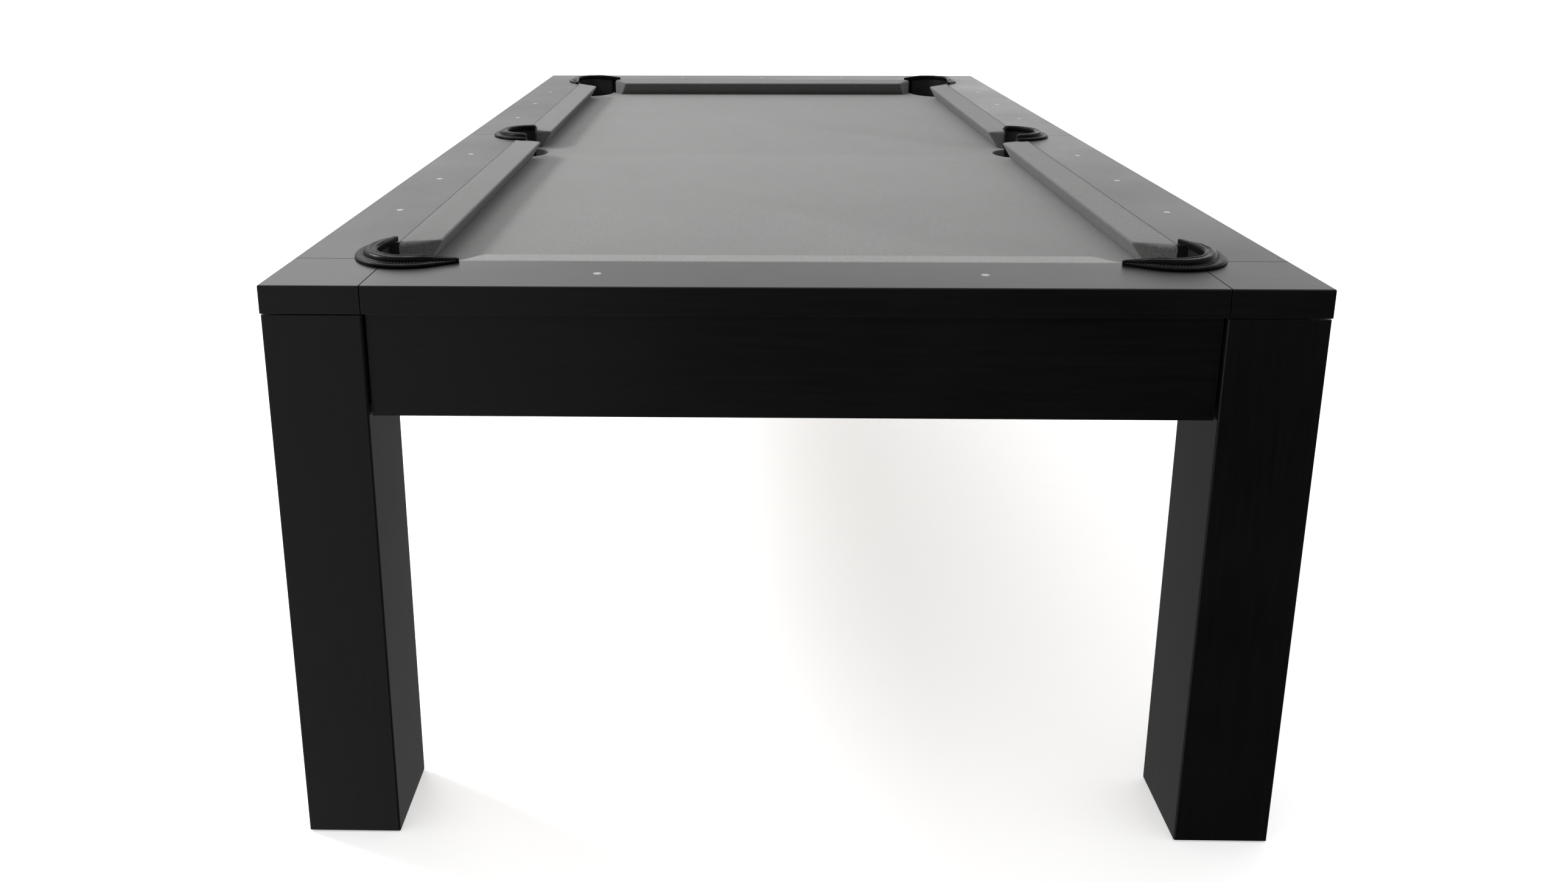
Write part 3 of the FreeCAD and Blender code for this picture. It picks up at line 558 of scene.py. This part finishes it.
def cut_area():
    """Flat area of the bed cloth's outline with what wraps down at the pockets."""
    outline = bed_outline()
    area = 0.0
    wrapped = 0.0
    for (x0, y0, away0), (x1, y1, away1) in zip(outline, outline[1:] + outline[:1]):
        area += (x0 * y1 - x1 * y0) / 2
        if away0 and away1:
            wrapped += math.hypot(x1 - x0, y1 - y0) * WRAP_DEPTH
    return abs(area) + wrapped


def make_bed():
    cloth = add_piece("bed_felt_sheet", build_bed, BED_FELT)
    cut_area()
    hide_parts("bed_cloth")


# ---------------------------------------------------------------- cushions


def cushion_section():
    """Cushion section as (out, z, pull, radius), from the seam over the nose and back below.

    The end rounds over with this radius here, and pull is the way in from the skin.
    """
    slope = math.atan2(NOSE_DROP - RAIL_TOP + CUSHION_TOP, SEAM_OUT)
    face = math.atan2(RAIL_TOP - NOSE_DROP - CUSHION_LOW, UNDERCUT)
    top_pull = (math.sin(slope), -math.cos(slope))
    points = []
    for k in range(5):
        angle = math.pi / 2 * k / 4
        out = SEAM_OUT - SEAM_GAP - SEAM_TUCK * math.sin(angle)
        z = CUSHION_TOP - SEAM_TUCK * (1 - math.sin(angle))
        points.append((out, z, top_pull, SEAM_ROUND))
    seam_out = points[-1][0]
    centre_z = CUSHION_TOP - (SEAM_OUT - NOSE_R) * math.tan(slope) - NOSE_R / math.cos(slope)
    start = math.pi / 2 + slope
    stop = 3 * math.pi / 2 - face
    nose_start = NOSE_R + NOSE_R * math.cos(start)
    for t in (0.2, 0.4, 0.55, 0.7, 0.8, 0.9, 0.97):
        out = mix(seam_out, nose_start, t)
        z = CUSHION_TOP - (SEAM_OUT - SEAM_TUCK - out) * math.tan(slope)
        radius = mix(SEAM_ROUND, FACING_ROUND, smoothstep(0.3, 0.9, t))
        points.append((out, z, top_pull, radius))
    for k in range(NOSE_STEPS + 1):
        angle = mix(start, stop, k / NOSE_STEPS)
        pull = (-math.cos(angle), -math.sin(angle))
        out = NOSE_R + NOSE_R * math.cos(angle)
        points.append((out, centre_z + NOSE_R * math.sin(angle), pull, FACING_ROUND))
    nose_out, nose_z, face_pull, _ = points[-1]
    run = (nose_z - CUSHION_LOW) / math.tan(face)
    for t in (0.05, 0.5, 0.93):
        points.append((nose_out + run * t, mix(nose_z, CUSHION_LOW, t), face_pull, FACING_ROUND))
    points.append((nose_out + run * 1.04, CUSHION_LOW + HEEL_LIFT, HEEL_PULL, FACING_ROUND))
    points.append((nose_out + run * 1.12, CUSHION_LOW, HEEL_PULL, FACING_ROUND))
    for z in (CUSHION_LOW, CUSHION_TOP - BACK_DROP):
        points.append((SEAM_OUT - SEAM_GAP, z, (0, 0), FACING_ROUND))
    return points


def cushion_rings(start, start_lean, stop, stop_lean):
    """Rings of (out, along, z) from one facing to the other."""
    section = cushion_section()

    def end_ring(mouth, lean, turn, inward):
        grow = math.sqrt(1 + lean ** 2)
        ring = []
        for out, z, pull, radius in section:
            inset = radius * (1 - math.sin(turn))
            back = radius * (1 - math.cos(turn)) * grow
            moved = out + pull[0] * inset
            ring.append((moved, mouth + inward * (back - moved * lean), z + pull[1] * inset))
        return ring

    turns = [math.pi / 2 * k / ROUND_STEPS for k in range(ROUND_STEPS + 1)]
    rings = [end_ring(start, start_lean, turn, 1) for turn in turns]
    last = [end_ring(stop, stop_lean, turn, -1) for turn in reversed(turns)]
    flat_start = end_ring(start, start_lean, 0, 1)
    flat_stop = end_ring(stop, stop_lean, 0, -1)
    middle = []
    for k in range(1, CUSHION_SPANS):
        pairs = zip(rings[-1], last[0])
        middle.append([tuple(mix(p[i], q[i], k / CUSHION_SPANS) for i in range(3)) for p, q in pairs])
    return [inner_ring(flat_start)] + rings + middle + last + [inner_ring(flat_stop)]


def inner_ring(ring):
    """The ring shrunk a little in its own plane, so that the flat end shades flat."""
    middle = [sum(point[i] for point in ring) / len(ring) for i in range(3)]
    return [tuple(mix(point[i], middle[i], END_INSET) for i in range(3)) for point in ring]


def make_cushion(ending, material, rings, place):
    def build(bm):
        skin_rings(bm, [[place(*point) for point in ring] for ring in rings])

    cushion = add_piece("cushion_felt_" + ending, build, material, 50)
    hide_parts("cushion_cloth_" + ending)


def make_cushions():
    reach = NOSE_X - CORNER_MOUTH
    rings = cushion_rings(-reach, CORNER_LEAN, reach, CORNER_LEAN)
    for end_name, end in ENDS.items():
        def place(out, along, z, end=end):
            return (along, end * (NOSE_Y + out), z)
        # The near cushion gets the brighter felt copy, which paints in sheen
        material = NEAR_FELT_PAINTED_SHEEN if end < 0 else CUSHION_FELT
        make_cushion(end_name, material, rings, place)
    rings = cushion_rings(SIDE_MOUTH, SIDE_LEAN, NOSE_Y - CORNER_MOUTH, CORNER_LEAN)
    for side_name, side in SIDES.items():
        for end_name, end in ENDS.items():
            def place(out, along, z, side=side, end=end):
                return (side * (NOSE_X + out), end * along, z)
            make_cushion(side_name + "_" + end_name, CUSHION_FELT, rings, place)


# ---------------------------------------------------------------- leather collars

# The collar's section: the roll as (out from the pocket, height) in millimetres, then the
# flange as (share of its width, height in millimetres).
ROLL_SECTION = [(0.0, 0.2), (-0.25, 5.5), (0.3, 9.4), (2.6, 11.6), (4.6, 11.3), (6.4, 10.7),
                (9.0, 11.2), (12.2, 11.7), (15.0, 10.6), (16.9, 8.2), (17.7, 6.2), (18.2, 4.9)]
FLANGE_SECTION = [(0.06, 4.5), (0.16, 4.9), (0.4, 5.15), (0.65, 5.0), (0.86, 4.35),
                  (0.97, 3.0), (1.0, 1.6), (0.95, 0.15)]


def smooth_line(points):
    """Catmull-Rom points through an open line."""
    ends = [points[0]] + points + [points[-1]]
    line = []
    for p0, p1, p2, p3 in zip(ends, ends[1:], ends[2:], ends[3:]):
        for k in range(SECTION_STEPS):
            t = k / SECTION_STEPS
            line.append(tuple(
                0.5 * (2 * b + (c - a) * t + (2 * a - 5 * b + 4 * c - d) * t * t
                       + (3 * b - a - 3 * c + d) * t ** 3)
                for a, b, c, d in zip(p0, p1, p2, p3)))
    line.append(points[-1])
    return line


ROLL_LINE = smooth_line(ROLL_SECTION)
FLANGE_LINE = smooth_line(FLANGE_SECTION)


def collar_heights(roll, flange, shrink):
    """Section points (out, height) for these widths, in metres, drawn in by shrink."""
    narrow = roll / ROLL_W
    lift = mix(0.55, 1.0, smoothstep(0.3, 1.0, narrow))
    points = [(d * narrow / 1000, h * lift / 1000) for d, h in ROLL_LINE]
    points += [(roll + d * flange, h * min(lift * 1.15, 1.0) / 1000) for d, h in FLANGE_LINE]
    middle = (roll + flange) / 2
    return [(mix(d, middle, shrink), h * (1 - shrink)) for d, h in points]


def collar_top(roll, flange, out):
    """Height of the collar's flange at a distance out, for the stitches."""
    section = [point for point in collar_heights(roll, flange, 0) if point[0] > roll * 0.98]
    nearest = min(section, key=lambda point: abs(point[0] - out))
    return nearest[1]


def outer_height(a, radius):
    """How far out a collar's outer edge lies at a, on the arm or its round end."""
    tip_a = -TIP_REACH - CORNER_SET
    tip_b = ARM_OUT - CORNER_SET
    reach = math.hypot(tip_a, tip_b)
    touch = math.atan2(tip_b, tip_a) - math.acos(radius / reach)
    touch_a = CORNER_SET + radius * math.cos(touch)
    touch_b = CORNER_SET + radius * math.sin(touch)
    if a < touch_a:
        return mix(ARM_OUT, touch_b, (a + TIP_REACH) / (touch_a + TIP_REACH))
    return CORNER_SET + math.sqrt(radius ** 2 - (a - CORNER_SET) ** 2)


def corner_stations():
    """Stations along the corner collar: (inner point, outward direction, roll, flange)."""
    arm = []
    for k in range(ARM_STEPS):
        a = mix(-TIP_REACH, CORNER_SET, k / ARM_STEPS)
        inner = mix(ARM_OUT - TIP_W, ARM_OUT, k / ARM_STEPS)
        roll = outer_height(a, POCKET_R + ROLL_W) - inner
        flange = outer_height(a, POCKET_R + COLLAR_W) - inner - roll
        arm.append(((a, inner), (0.0, 1.0), roll, flange))
    bend = []
    for k in range(BEND_STEPS + 1):
        angle = math.pi / 2 * (1 - k / BEND_STEPS)
        out = (math.cos(angle), math.sin(angle))
        inner = (CORNER_SET + POCKET_R * out[0], CORNER_SET + POCKET_R * out[1])
        bend.append((inner, out, ROLL_W, COLLAR_W - ROLL_W))
    back = [((inner[1], inner[0]), (1.0, 0.0), roll, flange) for inner, out, roll, flange in arm]
    return arm + bend + back[::-1]


def side_stations():
    """Stations round the right side collar, from far to near, with a as distance out."""
    stations = []
    for k in range(SIDE_STEPS + 1):
        angle = math.pi * (0.5 - k / SIDE_STEPS)
        out = (math.cos(angle), math.sin(angle))
        inner = (SIDE_SET + POCKET_R * out[0], POCKET_R * out[1])
        stations.append((inner, out, ROLL_W, COLLAR_W - ROLL_W))
    return stations


def collar_rings(stations, place, seed):
    """Rings of points with slack creases along the roll and rounded ends."""
    rings = []
    last = len(stations) - 1
    for k, (inner, out, roll, flange) in enumerate(stations):
        shrink = TIP_SHRINK * (1 - smoothstep(0, TIP_STATIONS, min(k, last - k)))
        ring = []
        for d, h in collar_heights(roll, flange, shrink):
            slack = noise.noise(Vector((k * 0.11, d * 260, seed))) * SLACK
            fine = noise.noise(Vector((k * 0.55, d * 90, seed + 9))) * FINE_SLACK
            lift = (slack + fine) * smoothstep(0.002, 0.006, h)
            a = inner[0] + out[0] * (d + lift / 2)
            b = inner[1] + out[1] * (d + lift / 2)
            ring.append(place(a, b, RAIL_TOP + min(h + lift, COLLAR_H)))
        rings.append(ring)
    return rings


def add_stitch(bm, start, end):
    """One thread stitch: a short tube that dips into the leather at both ends."""
    along = end - start
    side = along.cross(Vector((0, 0, 1))).normalized()
    rings = []
    for t, size, lift in STITCH_PROFILE:
        centre = start + along * t + Vector((0, 0, lift * STITCH_R))
        ring = []
        for k in range(STITCH_SIDES):
            angle = math.tau * k / STITCH_SIDES
            offset = side * math.cos(angle) + Vector((0, 0, math.sin(angle)))
            ring.append(centre + offset * STITCH_R * size)
        rings.append(ring)
    skin_rings(bm, rings)


def build_stitches(bm, stations, place):
    """Stitches at an even pitch along the groove between the roll and the flange."""
    line = []
    for inner, out, roll, flange in stations:
        d = roll + min(STITCH_OUT, flange * 0.4)
        height = RAIL_TOP + collar_top(roll, flange, d)
        line.append(Vector(place(inner[0] + out[0] * d, inner[1] + out[1] * d, height)))
    lengths = [0.0]
    for first, second in zip(line, line[1:]):
        lengths.append(lengths[-1] + (second - first).length)

    def at(distance):
        k = max(i for i in range(len(lengths) - 1) if lengths[i] <= distance)
        return line[k].lerp(line[k + 1], (distance - lengths[k]) / (lengths[k + 1] - lengths[k]))

    count = int(lengths[-1] / STITCH_PITCH) - 1
    margin = (lengths[-1] - count * STITCH_PITCH) / 2
    for k in range(count):
        start = margin + k * STITCH_PITCH
        add_stitch(bm, at(start), at(start + STITCH_L))


def make_collar(ending, stations, place, seed):
    node = "pocket_collar_" + ending
    rings = collar_rings(stations, place, seed)
    collar = add_piece("collar_leather_" + ending, lambda bm: skin_rings(bm, rings),
                       LEATHER, 60)
    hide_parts(node)
    add_piece("collar_stitches_" + ending, lambda bm: build_stitches(bm, stations, place),
              THREAD, 80)


def make_collars():
    seed = 1.0
    for side_name, side in SIDES.items():
        def place_side(a, y, z, side=side):
            return (side * (NOSE_X + a), y, z)
        make_collar(side_name, side_stations(), place_side, seed)
        seed += 17.0
        for end_name, end in ENDS.items():
            def place_corner(a, b, z, side=side, end=end):
                return (side * (NOSE_X + a), end * (NOSE_Y + b), z)
            make_collar(side_name + "_" + end_name, corner_stations(), place_corner, seed)
            seed += 17.0


# ---------------------------------------------------------------- studio


def make_floor():
    bm = bmesh.new()
    corners = [(-1, -1), (1, -1), (1, 1), (-1, 1)]
    bm.faces.new([bm.verts.new((x * FLOOR_HALF, y * FLOOR_HALF, 0)) for x, y in corners])
    mesh = bpy.data.meshes.new("studio_floor")
    bm.to_mesh(mesh)
    bm.free()
    mesh.materials.append(floor_paint("studio_floor_paint"))
    floor = bpy.data.objects.new("studio_floor", mesh)
    floor.visible_glossy = False
    bpy.context.scene.collection.objects.link(floor)


def make_world():
    """White room: bright overhead and beyond the far end, dim on the near side."""
    world = bpy.data.worlds.new("studio")
    bpy.context.scene.world = world
    world.use_nodes = True
    tree = world.node_tree
    background = tree.nodes["Background"]

    def span(source, start, stop, low, high):
        made = tree.nodes.new("ShaderNodeMapRange")
        made.interpolation_type = "SMOOTHSTEP"
        tree.links.new(source, made.inputs["Value"])
        for name, value in (("From Min", start), ("From Max", stop),
                            ("To Min", low), ("To Max", high)):
            made.inputs[name].default_value = value
        return made.outputs["Result"]

    def put(value, socket):
        if isinstance(value, (int, float)):
            socket.default_value = value
        else:
            tree.links.new(value, socket)

    def mixed(factor, first, second):
        made = tree.nodes.new("ShaderNodeMix")
        put(factor, made.inputs[0])
        put(first, made.inputs[2])
        put(second, made.inputs[3])
        return made.outputs[0]

    coords = tree.nodes.new("ShaderNodeTexCoord")
    parts = tree.nodes.new("ShaderNodeSeparateXYZ")
    tree.links.new(coords.outputs["Generated"], parts.inputs["Vector"])
    beyond = span(parts.outputs["Y"], -0.75, 0.25, 0.0, 1.0)
    skirting = span(parts.outputs["X"], -0.2, 0.2, 0.7, 2.2)
    wall = span(parts.outputs["X"], -0.4, 0.1, 2.5, 1.05)
    ahead = mixed(span(parts.outputs["Z"], 0.13, 0.25, 0.0, 1.0), skirting, wall)
    behind = span(parts.outputs["X"], -0.35, 0.3, 0.34, 0.06)
    walls = mixed(beyond, behind, ahead)
    below = mixed(beyond, span(parts.outputs["X"], -0.6, 0.15, 0.9, 0.03), 0.32)
    lower = mixed(span(parts.outputs["Z"], -0.06, 0.02, 0.0, 1.0), below, walls)
    whole = mixed(span(parts.outputs["Z"], 0.25, 0.8, 0.0, 1.0), lower, 1.25)
    tree.links.new(whole, background.inputs["Strength"])
    background.inputs["Color"].default_value = (1.0, 1.0, 1.0, 1.0)


def make_light(name, place, aim, size, power):
    light = bpy.data.lights.new(name, "AREA")
    light.shape = "DISK"
    light.size = size
    light.energy = power
    lamp = bpy.data.objects.new(name, light)
    lamp.location = place
    lamp.rotation_euler = (Vector(aim) - Vector(place)).to_track_quat("-Z", "Y").to_euler()
    bpy.context.scene.collection.objects.link(lamp)


def make_camera():
    data = bpy.data.cameras.new("camera")
    data.sensor_width = 36.0
    data.lens = CAMERA_LENS
    data.shift_x, data.shift_y = CAMERA_SHIFT
    data.clip_start = 0.01
    camera = bpy.data.objects.new("camera", data)
    camera.location = CAMERA_PLACE
    camera.rotation_euler = [math.radians(angle) for angle in CAMERA_TURN]
    bpy.context.scene.collection.objects.link(camera)
    bpy.context.scene.camera = camera


finish_nodes()
make_bed()
make_cushions()
make_collars()
make_floor()
make_world()
make_light("overhead_light", (-0.9, 0.6, 3.4), (0, 0.2, 0.7), 2.4, 45)
make_light("left_light", (-2.6, -0.2, 2.3), (-0.4, -0.8, 0.8), 0.6, 66)
make_camera()
bpy.context.scene.view_settings.view_transform = "Standard"
